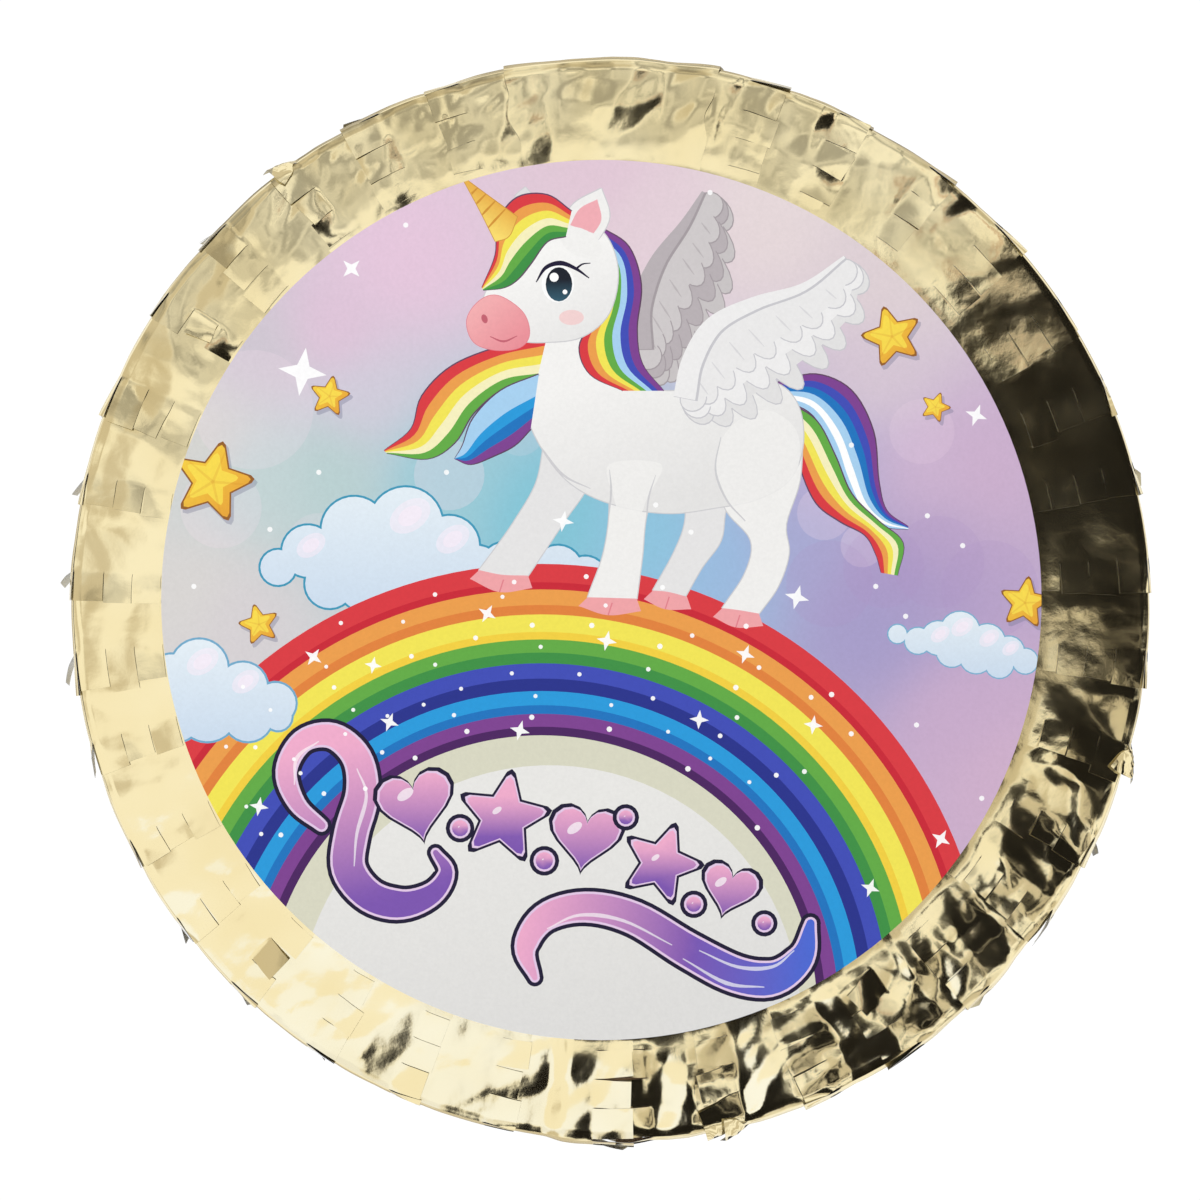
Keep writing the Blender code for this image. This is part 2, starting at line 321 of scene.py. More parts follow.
def cap_mesh(name):
    """The top strip: it has no tabs, and lies over the first strip of each side."""
    half = CAP_HALF_ANGLE * RIM_RADIUS
    rows = int(round(2 * half / ROW))
    s, t = np.meshgrid(np.linspace(0, FILM_LENGTH, COLUMNS), np.linspace(-half, half, rows + 1))
    wave = 0.0012 * np.sin(s * 170) + 0.0008 * np.sin(s * 390 + 1)
    t = t + wave * np.abs(t / half) ** 4
    height = crumple(s, t) + CAP_HEIGHT + CAP_EDGE * smooth(np.abs(t), 0.6 * half, half)
    holes = [np.hypot(t - x, s - FILM_LENGTH / 2) for x in (CORD_HOLE_X, -CORD_HOLE_X)]
    from_hole = np.minimum(*holes).reshape(-1)
    faces = [
        (a, d, c, b) for a, b, c, d in grid_faces(rows, COLUMNS)
        if min(from_hole[k] for k in (a, b, c, d)) > CORD_HOLE_RADIUS
    ]
    points = on_rim(s, t, height, 0.0, 1).reshape(-1, 3)
    return new_mesh(name, points.tolist(), faces, rounded=True)


def add_piece(name, mesh, materials, body=None):
    piece = bpy.data.objects.new(name, mesh)
    bpy.context.scene.collection.objects.link(piece)
    for finish in materials:
        mesh.materials.append(finish)
    if body:
        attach(piece, body)
    return piece


def thicken(piece, thickness):
    """Gives film a thickness and its back the second material, with sharp cut edges."""
    solid = piece.modifiers.new("thickness", "SOLIDIFY")
    solid.thickness = thickness
    solid.offset = -1
    solid.material_offset = 1
    solid.material_offset_rim = 1
    bpy.context.view_layer.update()
    evaluated = piece.evaluated_get(bpy.context.evaluated_depsgraph_get())
    thick = bpy.data.meshes.new_from_object(evaluated)
    piece.modifiers.clear()
    piece.data = thick
    thick.shade_smooth()
    thick.set_sharp_from_angle(angle=math.radians(40))


def make_film(gold, silver):
    films = [("film_cap", "foil_cap", cap_mesh("film_cap"), 2 * CAP_HALF_ANGLE * RIM_RADIUS)]
    for side, sign in (("right", 1), ("left", -1)):
        for number in range(STRIPS):
            start = FIRST_STRIP + number * STRIP_PITCH
            name = f"film_strip_{side}_{number + 1:02d}"
            lapping = number == STRIPS - 1 and sign < 0
            mesh = strip_mesh(name, start, sign, 100 + 7 * number + sign, lapping)
            films.append((name, f"foil_strip_{side}_{number + 1:02d}", mesh, STRIP_WIDTH))
    for name, node, mesh, width in films:
        piece = add_piece(name, mesh, (gold, silver), "shell")
        thicken(piece, FILM)
        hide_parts(node)


# ---------------------------------------------------------------- the printed picture
# Drawn in millimetres from the disc's centre, x to the right and z up, in sRGB colours
RED, RED_DARK = (219, 56, 64), (203, 34, 52)
ORANGE, ORANGE_DARK = (236, 158, 74), (226, 130, 58)
YELLOW, YELLOW_DARK = (242, 229, 84), (243, 208, 62)
GREEN, GREEN_DARK = (98, 172, 68), (60, 146, 68)
INDIGO, INDIGO_DARK = (62, 76, 184), (36, 48, 142)
BLUE, BLUE_DARK = (34, 154, 220), (22, 116, 192)
PURPLE, PURPLE_DARK = (126, 64, 146), (76, 32, 98)
PALE_BLUE, CREAM, WHITE = (166, 208, 240), (246, 240, 190), (255, 255, 255)
COAT, COAT_SHADE, COAT_LINE = (240, 239, 237), (222, 221, 222), (206, 205, 208)
PINK, PINK_DARK, NAVY = (240, 164, 168), (226, 128, 140), (30, 24, 56)
HAIR_EDGE, NOSTRIL, LILAC = (96, 66, 96), (196, 96, 112), (226, 200, 230)


def linear(colour):
    """An sRGB colour of 0 to 255 in linear light."""
    value = np.asarray(colour, float) / 255
    return np.where(value <= 0.04045, value / 12.92, ((value + 0.055) / 1.055) ** 2.4)


def smooth_line(points, steps=6, closed=False):
    """A Catmull-Rom curve through the points."""
    p = np.array(points, float)
    if closed:
        p = np.concatenate([p[-1:], p, p[:2]])
    else:
        p = np.concatenate([[2 * p[0] - p[1]], p, [2 * p[-1] - p[-2]]])
    u = (np.arange(steps) / steps)[:, None]
    runs = []
    for a, b, c, d in zip(p, p[1:], p[2:], p[3:]):
        runs.append(
            b + u * (c - a) / 2
            + u**2 * (2 * a - 5 * b + 4 * c - d) / 2
            + u**3 * (3 * b - a - 3 * c + d) / 2
        )
    if not closed:
        runs.append(p[-2:-1])
    return np.concatenate(runs)


def blob(*points):
    return smooth_line(points, closed=True)


def shape(*runs):
    """A closed outline of smooth runs, each from the corner where the one before it ended."""
    lines, corner = [], []
    for run in runs:
        lines.append(smooth_line([*corner, *run])[:-1])
        corner = [run[-1]]
    return np.concatenate(lines)


def full_turn(steps):
    return np.arange(steps) / steps * 2 * math.pi


def circle(x, z, radius, sides=0):
    turn = full_turn(sides or max(8, int(10 + radius * 1.6)))
    return np.stack([x + radius * np.cos(turn), z + radius * np.sin(turn)], axis=1)


def tilted(x, z, a, b, tilt):
    """Points a across and b up from a centre, turned round it by tilt degrees."""
    slope = math.radians(tilt)
    across = x + a * math.cos(slope) - b * math.sin(slope)
    return np.stack([across, z + a * math.sin(slope) + b * math.cos(slope)], axis=1)


def ellipse(x, z, wide, high, tilt=0.0):
    turn = full_turn(20)
    return tilted(x, z, wide * np.cos(turn), high * np.sin(turn), tilt)


def stroke(line, widths):
    """A brush stroke along a curve, its width running through the given values."""
    step = np.gradient(line, axis=0)
    step /= np.linalg.norm(step, axis=1, keepdims=True)
    side = np.stack([-step[:, 1], step[:, 0]], axis=1)
    share = np.linspace(0, 1, len(line))
    half = np.interp(share, np.linspace(0, 1, len(widths)), widths)[:, None] / 2
    return np.concatenate([line + side * half, (line - side * half)[::-1]])


def star_outline(x, z, radius, tilt, inner=0.52, points=5, rounding=0.10):
    """A star with slightly rounded points."""
    out = []
    for k in range(points):
        for share, off in ((1.0, 0.0), (inner, 0.5)):
            angle = math.radians(tilt) + (k + off) / points * 2 * math.pi
            reach = radius * share
            if off or not rounding:
                out.append((x + reach * math.sin(angle), z + reach * math.cos(angle)))
                continue
            for bend in (-rounding, 0, rounding):
                cut = reach * (0.93 if bend else 1.0)
                out.append((x + cut * math.sin(angle + bend), z + cut * math.cos(angle + bend)))
    return np.array(out)


def heart_outline(x, z, size, tilt):
    t = full_turn(28)
    a = 16 * np.sin(t) ** 3
    b = 13 * np.cos(t) - 5 * np.cos(2 * t) - 2 * np.cos(3 * t) - np.cos(4 * t) + 2
    return tilted(x, z, a * size / 32, b * size / 32, tilt)


def plain(colour):
    return lambda at, under: np.tile(linear(colour), (len(at), 1))


def tint(colour, share):
    """The colour laid thinly over what is under it."""
    return lambda at, under: under + (linear(colour) - under) * share


def fade(first, last, start, end):
    """One colour running into another between two places."""
    start, way = np.array(start, float), np.array(end, float) - np.array(start, float)

    def paint(at, under):
        share = np.clip((at - start) @ way / (way @ way), 0, 1)[:, None]
        return linear(first) * (1 - share) + linear(last) * share

    return paint


# Soft patches of sky: where each lies and its colour, and how far they run into one another. The patches on
# the left are paler and greyer: the print's sky with a painted sheen over it.
SKY_BLUR = 17.0
SKY_AND_SHEEN_PATCHES = [
    (0, 158, (224, 198, 213)), (-74, 125, (228, 197, 219)), (-125, 92, (205, 197, 208)),
    (-147, 60, (213, 211, 207)), (-99, 99, (222, 193, 215)), (-125, 46, (192, 211, 212)),
    (-99, 47, (182, 207, 207)), (-60, 45, (152, 202, 214)), (-150, 0, (216, 213, 210)),
    (-136, -8, (213, 207, 211)), (-20, 30, (128, 196, 214)), (20, 22, (140, 196, 222)),
    (-88, 75, (208, 203, 218)), (44, 14, (154, 187, 224)), (75, 22, (166, 168, 210)),
    (99, -8, (165, 156, 202)), (110, 10, (168, 152, 199)), (135, -45, (200, 171, 204)),
    (122, 24, (186, 163, 201)), (140, 47, (204, 175, 205)), (122, 44, (206, 180, 209)),
    (100, 85, (214, 198, 212)), (60, 140, (229, 215, 217)), (105, 115, (222, 208, 212)),
    (147, -60, (208, 176, 204)), (20, 140, (227, 207, 216)), (80, 50, (184, 172, 210)),
]


# The sky's print colours, with a painted sheen that pales and greys the left side
def paint_sky_and_sheen(at, under):
    total = np.zeros((len(at), 3))
    weight = np.zeros((len(at), 1))
    for x, z, colour in SKY_AND_SHEEN_PATCHES:
        near = 1 / (((at - (x, z)) ** 2).sum(axis=1) + SKY_BLUR**2)[:, None] ** 2
        total += near * linear(colour)
        weight += near
    return total / weight


HAIR_WIDTHS = [0.9, 0.9 * 1.2, 0.9 * 0.4]


class Picture:
    """Outlines in painting order, each with its paint."""

    def __init__(self):
        self.layers = []

    def add(self, outline, paint):
        outline = np.asarray(outline, float)
        x, z = outline[:, 0], outline[:, 1]
        if (x * np.roll(z, -1) - np.roll(x, -1) * z).sum() < 0:
            outline = outline[::-1]
        if isinstance(paint, tuple):
            paint = plain(paint)
        self.layers.append((outline, paint))

    def line(self, points, widths, paint, steps=6):
        self.add(stroke(smooth_line(points, steps), widths), paint)

    def edged(self, outline, paint, edge, width):
        """A filled outline with a drawn edge round it."""
        closed = np.concatenate([outline, outline[:1]])
        half = len(closed) // 2
        for part in (closed[: half + 1], closed[half:]):
            self.add(stroke(part, [width]), edge)
        self.add(outline, paint)

    def striped(self, first, last, colours):
        """A lock of hair between two edges that run from its root to its tip, in stripes."""
        first, last = smooth_line(first), smooth_line(last)
        for edge in (first, last):
            self.add(stroke(edge, HAIR_WIDTHS), HAIR_EDGE)
        for k, colour in enumerate(colours):
            low, high = k / len(colours), (k + 1) / len(colours)
            near, far = first + (last - first) * low, first + (last - first) * high
            self.add(np.concatenate([near, far[::-1]]), colour)


def draw_sky(picture):
    for x, z, radius, share in (
        (-128, 70, 22, 0.16), (-56, 46, 13, 0.22), (82, 32, 10, 0.18), (96, 20, 8, 0.22),
        (-30, 62, 9, 0.10), (118, 62, 12, 0.12), (-104, 20, 12, 0.14), (-140, 34, 15, 0.16),
    ):
        picture.add(circle(x, z, radius), tint((250, 225, 240), share))
    # A bank of mauve mist on the right
    for x, z, radius in ((84, 6, 16), (104, 12, 15), (124, 14, 17), (143, 4, 18)):
        picture.add(circle(x, z, radius), tint((172, 146, 196), 0.20))


def draw_cloud(picture, lumps, edge, gleams, scale=1.0):
    """A cloud of round lumps, each an x, z and radius, the first few of them with a pale gleam."""
    for x, z, radius in lumps:
        picture.add(circle(x, z, radius + 0.8 * scale), edge)
    low = min(z - radius for x, z, radius in lumps)
    high = max(z + radius for x, z, radius in lumps)
    body = fade((202, 219, 237), (228, 238, 245), (0, low), (0, high))
    for lump in lumps:
        picture.add(circle(*lump), body)
    for x, z, radius in lumps[:gleams]:
        for share in (0.62, 0.36):
            gleam = ellipse(x + radius * 0.12, z + radius * 0.22, radius * share, radius * share * 0.66, 35)
            picture.add(gleam, tint((252, 236, 248), 0.45))


# The bands' outer radii, colours, and how much of each is its darker half
RAINBOW_X, RAINBOW_Z = -22.1, -151.3
BANDS = [
    (164.6, RED, RED_DARK, 0.72), (155.2, ORANGE, ORANGE_DARK, 0.62), (146.0, YELLOW, YELLOW_DARK, 0.70),
    (136.8, GREEN, GREEN_DARK, 0.55), (128.0, INDIGO, INDIGO_DARK, 0.55), (117.8, BLUE, BLUE_DARK, 0.62),
    (109.4, PURPLE, PURPLE_DARK, 0.60),
]
RAINBOW_END, HILL_RADIUS = 101.5, 92.5


def draw_rainbow(picture):
    def ring(radius, colour):
        picture.add(circle(RAINBOW_X, RAINBOW_Z, radius, 160), colour)

    ends = [radius for radius, *_ in BANDS[1:]] + [RAINBOW_END]
    for (radius, light, dark, share), end in zip(BANDS, ends):
        ring(radius, light)
        ring(radius - (radius - end) * share, dark)
    ring(RAINBOW_END, (216, 215, 194))
    hill = circle(RAINBOW_X + 3, RAINBOW_Z - 2, HILL_RADIUS, 90)
    picture.add(hill, fade((232, 231, 228), (222, 221, 219), (-30, -75), (-20, -160)))


STARS = [
    (-143, 43.5, 14.0, 14), (-100, 75, 7.0, 10), (-126, -9, 7.0, -14), (107, 97, 10.5, -16),
    (123, 71, 5.2, 20), (156, -1, 9.0, 8),
]


def draw_star(picture, x, z, radius, tilt):
    picture.add(star_outline(x + 0.9, z - 1.3, radius * 1.12, tilt), tint((120, 120, 150), 0.45))
    picture.add(star_outline(x, z, radius * 1.10, tilt), (150, 96, 40))
    gold = fade((248, 214, 66), (228, 150, 48), (x - radius, z + radius), (x + radius, z - radius))
    picture.add(star_outline(x, z, radius, tilt), gold)
    shine = star_outline(x - 0.05 * radius, z + 0.06 * radius, radius * 0.72, tilt)
    picture.add(shine, tint((250, 226, 80), 0.75))
    for k in range(5):
        angle = math.radians(tilt) + (k + 0.12) / 5 * 2 * math.pi
        tip = (x + radius * 0.86 * math.sin(angle), z + radius * 0.86 * math.cos(angle))
        picture.line([(x, z), tip], [radius * 0.08, radius * 0.04], tint((214, 140, 40), 0.25), steps=2)


SPARKLES = [
    (-110, 84, 9.0, 8), (-92, 122, 4.2, 45), (138, 68, 4.2, 20), (-14, 29, 4.0, 10), (72, 1, 4.6, 15),
    (-78, -45, 3.6, 20), (-126, -76, 3.6, 10), (-42, -5, 3.6, 30), (2, -15, 3.8, 12), (36, -44, 3.6, 5),
    (99, -106, 3.6, 20), (125, -88, 3.8, 30), (-30, -48, 3.8, 15), (-106, -21, 3.6, 35), (-84, -24, 3.2, 10),
    (53, -20, 3.6, 20), (78, -46, 3.6, 8),
]


# Rows of dots along the bands: radius, where the row starts and its pitch in degrees, and how many
BAND_DOTS = [
    (160, 148, 13, 9), (151, 139, 11, 10), (141, 151, 12, 9), (132, 145, 14, 8), (123, 150, 10, 11),
    (114, 142, 12, 9), (106, 132, 15, 7),
]
SKY_DOTS = [
    (-150, 5), (-122, 26), (-104, 47), (-57, 47), (92, 57), (101, 5), (120, 31), (112, -6), (116, -46),
    (140, -73), (-72, 138), (40, 150), (20, 35), (33, 25), (133, 20),
]


def draw_sparkles(picture):
    for x, z, size, tilt in SPARKLES:
        picture.add(star_outline(x, z, size, tilt, inner=0.36, points=4, rounding=0), tint(WHITE, 0.92))
    for radius, first, pitch, count in BAND_DOTS:
        for k in range(count):
            angle = math.radians(first - pitch * k + 5 * math.sin(7 * k + radius))
            wander = 2.2 * math.sin(5 * k + radius)
            x = RAINBOW_X + (radius + wander) * math.cos(angle)
            z = RAINBOW_Z + (radius + wander) * math.sin(angle)
            picture.add(circle(x, z, 0.75 + 0.3 * math.sin(3 * k + radius) ** 2, 8), tint(WHITE, 0.9))
    for x, z in SKY_DOTS:
        picture.add(circle(x, z, 1.0, 8), tint(WHITE, 0.85))


def draw_leg(picture, front, sole, back, shade, hoof=None):
    """A leg, drawn down one side, along its sole and up the other, with a pink hoof below it."""
    picture.edged(shape([*front, sole[0]], sole[1:], back), shade, COAT_LINE, 0.8)
    left, middle, right = hoof or sole
    drop, heel = (middle[0] - 1.5, middle[1] - 5.6), (left[0] - 3.4, left[1] - 3.2)
    toe, top = (right[0] + 1.6, right[1] - 4.6), (middle[0] - 0.5, middle[1] + 0.8)
    picture.add(shape([left, top, right], [toe], [drop, heel], [left]), PINK)
    picture.line([(middle[0], middle[1] - 1), drop], [0.5], PINK_DARK, steps=2)


def draw_wing(picture, arm, root_angle, tip_angle, lengths, tips, fill, light, edge):
    """A wing: rows of round feathers that fan out from a curved arm, from root to tip."""
    arm = smooth_line(arm, 8)
    spread = np.linspace(0.06, 0.97, len(lengths))
    starts = arm[(spread * (len(arm) - 1)).astype(int)]
    angles = root_angle + (tip_angle - root_angle) * spread
    turns = np.radians(angles)
    ways = np.stack([np.cos(turns), np.sin(turns)], axis=1) * np.array(lengths)[:, None]
    for share, wide, row_fill in ((1.0, 5.2, tips), (0.80, 5.0, light), (0.58, 4.8, fill)):
        for start, way, angle, length in reversed(list(zip(starts, ways, angles, lengths))):
            middle = start + way * share / 2
            reach = length * share * 0.53
            picture.add(ellipse(*middle, reach + 0.5, wide + 0.4, angle), edge)
            picture.add(ellipse(*middle, reach, wide, angle), row_fill)
        # Behind each row the wing is solid up to the next
        hidden = smooth_line((starts + ways * share * 0.80)[::-1], 4)
        picture.add(np.concatenate([arm, hidden]), row_fill)
    for start, way in zip(starts[1:-1], ways[1:-1]):
        picture.line([start + way * 0.22, start + way * 0.46], [0.3, 0.7, 0.2], tint(edge, 0.5), steps=2)
    picture.add(stroke(arm, [9.0, 8.0, 5.0, 1.6]), edge)
    picture.add(stroke(arm + (-0.5, 0.3), [8.2, 7.2, 4.2, 1.0]), light)


def draw_tail(picture):
    picture.striped(
        [(65, 80), (79, 83), (92, 77), (100, 62), (102, 44), (105, 33), (113, 27)],
        [(67, 74), (78, 68), (85, 55), (89, 42), (95, 32), (104, 27), (113, 26)],
        [PURPLE, INDIGO, BLUE_DARK, PALE_BLUE, WHITE, PALE_BLUE],
    )
    picture.striped(
        [(68, 73), (79, 66), (86, 53), (92, 39), (102, 29), (111, 21), (109, 9)],
        [(70, 66), (73, 50), (79, 36), (88, 29), (97, 24), (101, 17), (103, 10)],
        [GREEN, CREAM, YELLOW, ORANGE, RED],
    )


def draw_body(picture):
    far = (229, 228, 228)
    draw_leg(
        picture, [(30, 45), (31, 30), (27, 18)], [(19, 3.5), (25, 2.5), (31, 1.5)],
        [(37, 12), (44, 22), (46, 34), (52, 46)], far, hoof=[(19, 3.5), (25, 2.2), (31.5, 1.2)],
    )
    draw_leg(
        picture, [(-21, 58), (-24, 43), (-32, 29), (-39, 19)], [(-45, 11), (-36, 8.5), (-27, 9)],
        [(-21, 18), (-13, 30), (-5, 42), (-2, 55)], far,
    )
    draw_leg(
        picture, [(44, 62), (42, 46), (46, 33), (55, 22), (53, 10)], [(44.5, -3), (51, -4.5), (58, -5)],
        [(65, 5), (69, 17), (68, 28), (73, 44), (74, 62)], COAT,
    )
    draw_leg(
        picture, [(0, 52), (3, 36), (1, 18)], [(-5, 1), (4, 0), (13, 0.5)],
        [(15, 16), (17, 33), (24, 48)], COAT,
    )
    trunk = blob(
        (-27, 67), (-26, 80), (-23, 95), (-12, 100), (2, 93), (9, 81), (22, 77), (38, 78), (54, 80), (66, 79),
        (73, 70), (74, 56), (69, 44), (57, 37), (42, 34), (26, 32), (9, 34), (-7, 40), (-18, 50),
    )
    picture.edged(trunk, fade((243, 242, 240), (228, 227, 226), (0, 84), (14, 34)), COAT_LINE, 0.8)
    # The tops of the near legs run into the body without a line
    for outline in (
        blob((46, 62), (42, 46), (48, 34), (58, 30), (67, 34), (72, 46), (72, 62), (60, 70)),
        blob((3, 50), (4.5, 38), (8, 30), (14, 31), (17, 38), (22, 50)),
    ):
        picture.add(outline, tint(COAT, 0.85))
    picture.line([(44, 60), (42, 48), (46, 37), (53, 29)], [0.3, 0.9, 0.4], COAT_LINE)
    picture.line([(3, 48), (3.6, 40), (2.6, 30)], [0.2, 0.8, 0.4], COAT_LINE)
    picture.line([(20, 46), (17.5, 38), (16.6, 30)], [0.2, 0.7, 0.4], COAT_LINE)
    picture.line([(-22, 56), (-14, 46), (-4, 41)], [0.3, 0.9, 0.3], COAT_LINE)


def draw_head(picture):
    # Locks blown forwards from under the throat
    picture.striped(
        [(-20, 97), (-38, 93), (-55, 86), (-66, 75), (-70, 63), (-80, 55)],
        [(-24, 80), (-36, 78), (-47, 69), (-54, 58), (-64, 52), (-79, 54)],
        [RED, ORANGE, YELLOW, CREAM, GREEN],
    )
    picture.striped(
        [(-23, 83), (-37, 77), (-47, 67), (-51, 57), (-54, 52)],
        [(-26, 63), (-32, 57), (-40, 53), (-48, 50), (-54, 52)],
        [PALE_BLUE, PALE_BLUE, BLUE, BLUE_DARK, PURPLE],
    )
    # The mane behind the head, the far ear, then the head over both
    picture.striped(
        [(0, 137), (10, 130), (14.5, 116), (13, 100), (15, 87), (23, 77)],
        [(-6, 128), (1, 116), (-3, 103), (-8, 93), (-4, 83), (8, 77)],
        [PURPLE, INDIGO, PALE_BLUE, GREEN, YELLOW, ORANGE, RED],
    )
    far_ear = shape([(-32, 141), (-32, 148), (-28, 152)], [(-24, 147), (-22, 140)])
    picture.edged(far_ear, COAT_SHADE, COAT_LINE, 0.7)
    head = blob(
        (-30, 139), (-15, 143), (0, 136), (6, 122), (3, 106), (-7, 97), (-20, 95), (-31, 96), (-42, 103),
        (-43, 112), (-37, 122), (-35, 132),
    )
    picture.edged(head, fade((245, 244, 242), (232, 231, 230), (-20, 125), (-8, 97)), COAT_LINE, 0.8)
    # Muzzle with a nostril and a smile
    muzzle = blob(
        (-38, 112), (-45, 110), (-49.5, 103), (-47, 95), (-39, 92), (-30, 93), (-26.5, 98), (-29, 106)
    )
    picture.edged(muzzle, fade((244, 176, 178), (232, 140, 150), (-46, 110), (-30, 92)), PINK_DARK, 0.5)
    picture.add(ellipse(-43, 103.5, 1.1, 1.7, 20), NOSTRIL)
    picture.line([(-41, 97), (-36, 95.2), (-31, 97.2)], [0.3, 0.8, 0.3], NOSTRIL)
    picture.add(ellipse(-11, 104, 4.6, 2.8), tint((246, 190, 190), 0.6))
    # Eye, with its lashes
    picture.add(ellipse(-16, 116.5, 6.0, 7.0), (252, 252, 252))
    picture.add(ellipse(-15.6, 116.2, 4.9, 6.3), fade((24, 30, 44), (52, 96, 116), (-15, 118), (-15, 109)))
    picture.add(circle(-17.4, 118.8, 1.7), WHITE)
    picture.add(circle(-13.4, 113.4, 0.9), WHITE)
    lashes = [(-24, 117), (-20.5, 122.3), (-15, 124), (-9.5, 122), (-4.5, 118.5)]
    picture.line(lashes, [0.4, 1.4, 1.8, 1.2, 0.4], NAVY)
    picture.line([(-9.4, 121.8), (-7, 123.6), (-4, 124)], [0.9, 0.3], NAVY)
    # Near ear
    picture.edged(shape([(-15, 138), (-10, 146), (0, 151.5)], [(3, 141), (-2, 131)]), COAT, COAT_LINE, 0.8)
    picture.add(shape([(-11.5, 138), (-8, 144), (-1.5, 147.5)], [(0, 140), (-3.5, 134)]), (240, 172, 180))
    picture.add(ellipse(-7.5, 131.5, 8.5, 5.0, -28), (241, 240, 238))
    # Forelock over the brow, and the horn
    picture.striped(
        [(-11, 143), (-20, 149), (-31, 148), (-38, 139), (-39, 127), (-44, 115)],
        [(-13, 134), (-20, 132), (-26, 124), (-31, 118), (-36, 115), (-43.5, 114)],
        [RED, ORANGE, YELLOW, CREAM, GREEN, GREEN_DARK],
    )
    horn = shape([(-39, 132), (-45, 144), (-51.5, 156)], [(-42, 149), (-31, 141)], [(-34, 134), (-39, 132)])
    picture.edged(horn, fade((250, 222, 110), (226, 158, 54), (-46, 138), (-38, 150)), (206, 150, 60), 0.6)
    for share in (0.2, 0.4, 0.58, 0.74):
        a = np.array((-39.3, 132.5)) + share * np.array((-11.5, 23.0))
        b = np.array((-31.5, 141)) + share * np.array((-19.0, 14.5))
        picture.line([a, (a + b) / 2 + (-0.9, -0.9), b], [0.5, 0.9, 0.5], (210, 146, 52), steps=3)


CHARMS = [
    ("heart", -68, -76, 26, 12), ("dot", -52, -84, 3.0, 0), ("star", -36, -80, 15, 10),
    ("dot", -21, -96, 3.2, 0), ("heart", -6, -88, 24, -8), ("dot", 9, -80, 2.6, 0), ("star", 22, -97, 13, 20),
    ("dot", 34, -112, 2.8, 0), ("heart", 47, -107, 19, -16), ("dot", 60, -119, 2.6, 0),
]


def charm_outline(kind, x, z, size, tilt, grow):
    if kind == "heart":
        return heart_outline(x, z, size + 2 * grow, tilt)
    if kind == "star":
        return star_outline(x, z, size + grow * 1.35, tilt)
    return circle(x, z, size + grow)


def draw_flourish(picture):
    """A curling ribbon with hearts and stars above it, in place of any lettering."""
    pink, violet, blue = (240, 172, 204), (124, 84, 176), (74, 104, 212)
    warm = fade(pink, violet, (-30, -116), (34, -130))
    cool = fade(violet, blue, (30, -130), (76, -132))

    def swash_paint(at, under):
        return np.where(at[:, :1] < 32, warm(at, under), cool(at, under))

    scroll = smooth_line([
        (-103, -83), (-112, -75), (-116, -63), (-110, -52), (-99, -50), (-90, -58), (-88, -71), (-92, -86),
        (-93, -99), (-85, -109), (-73, -112), (-62, -108), (-57, -100), (-61, -93),
    ])
    swash = smooth_line([
        (-24.5, -139), (-28, -128), (-21, -117), (-6, -113), (12, -117), (32, -129), (50, -138), (64, -139),
        (74, -131), (77, -119),
    ])
    for line, widths, top in (
        (scroll, [3, 6, 7, 9, 11, 11, 10, 6, 2], fade(pink, violet, (-100, -54), (-88, -110))),
        (swash, [2, 7, 9, 10, 11, 12, 12, 9, 3], swash_paint),
    ):
        for grow, paint in ((4.6, NAVY), (1.7, LILAC), (0.0, top)):
            picture.add(stroke(line, [width + grow for width in widths]), paint)
            for end in (0, -1):
                picture.add(circle(*line[end], (widths[end] + grow) / 2), paint)
    for points in (
        [(-90, -62), (-86.5, -72), (-90, -86), (-91, -98)], [(-113, -68), (-112, -58), (-104, -52)],
        [(-20, -121), (-8, -116), (8, -118), (26, -127)], [(36, -129), (50, -135), (63, -135), (71, -129)],
        [(30, -132), (46, -141), (60, -142.5)],
    ):
        picture.line(points, [0.4, 1.5, 0.4], tint(WHITE, 0.55))
    for kind, x, z, size, tilt in CHARMS:
        top = fade(pink, violet, (x, z + size / 2), (x, z - size / 2))
        for grow, paint in ((2.3, NAVY), (0.8, LILAC), (0.0, top)):
            picture.add(charm_outline(kind, x, z, size, tilt, grow), paint)
        gleam = ellipse(x - size * 0.16, z + size * 0.17, size * 0.13, size * 0.07, 35)
        picture.add(gleam, tint(WHITE, 0.6))


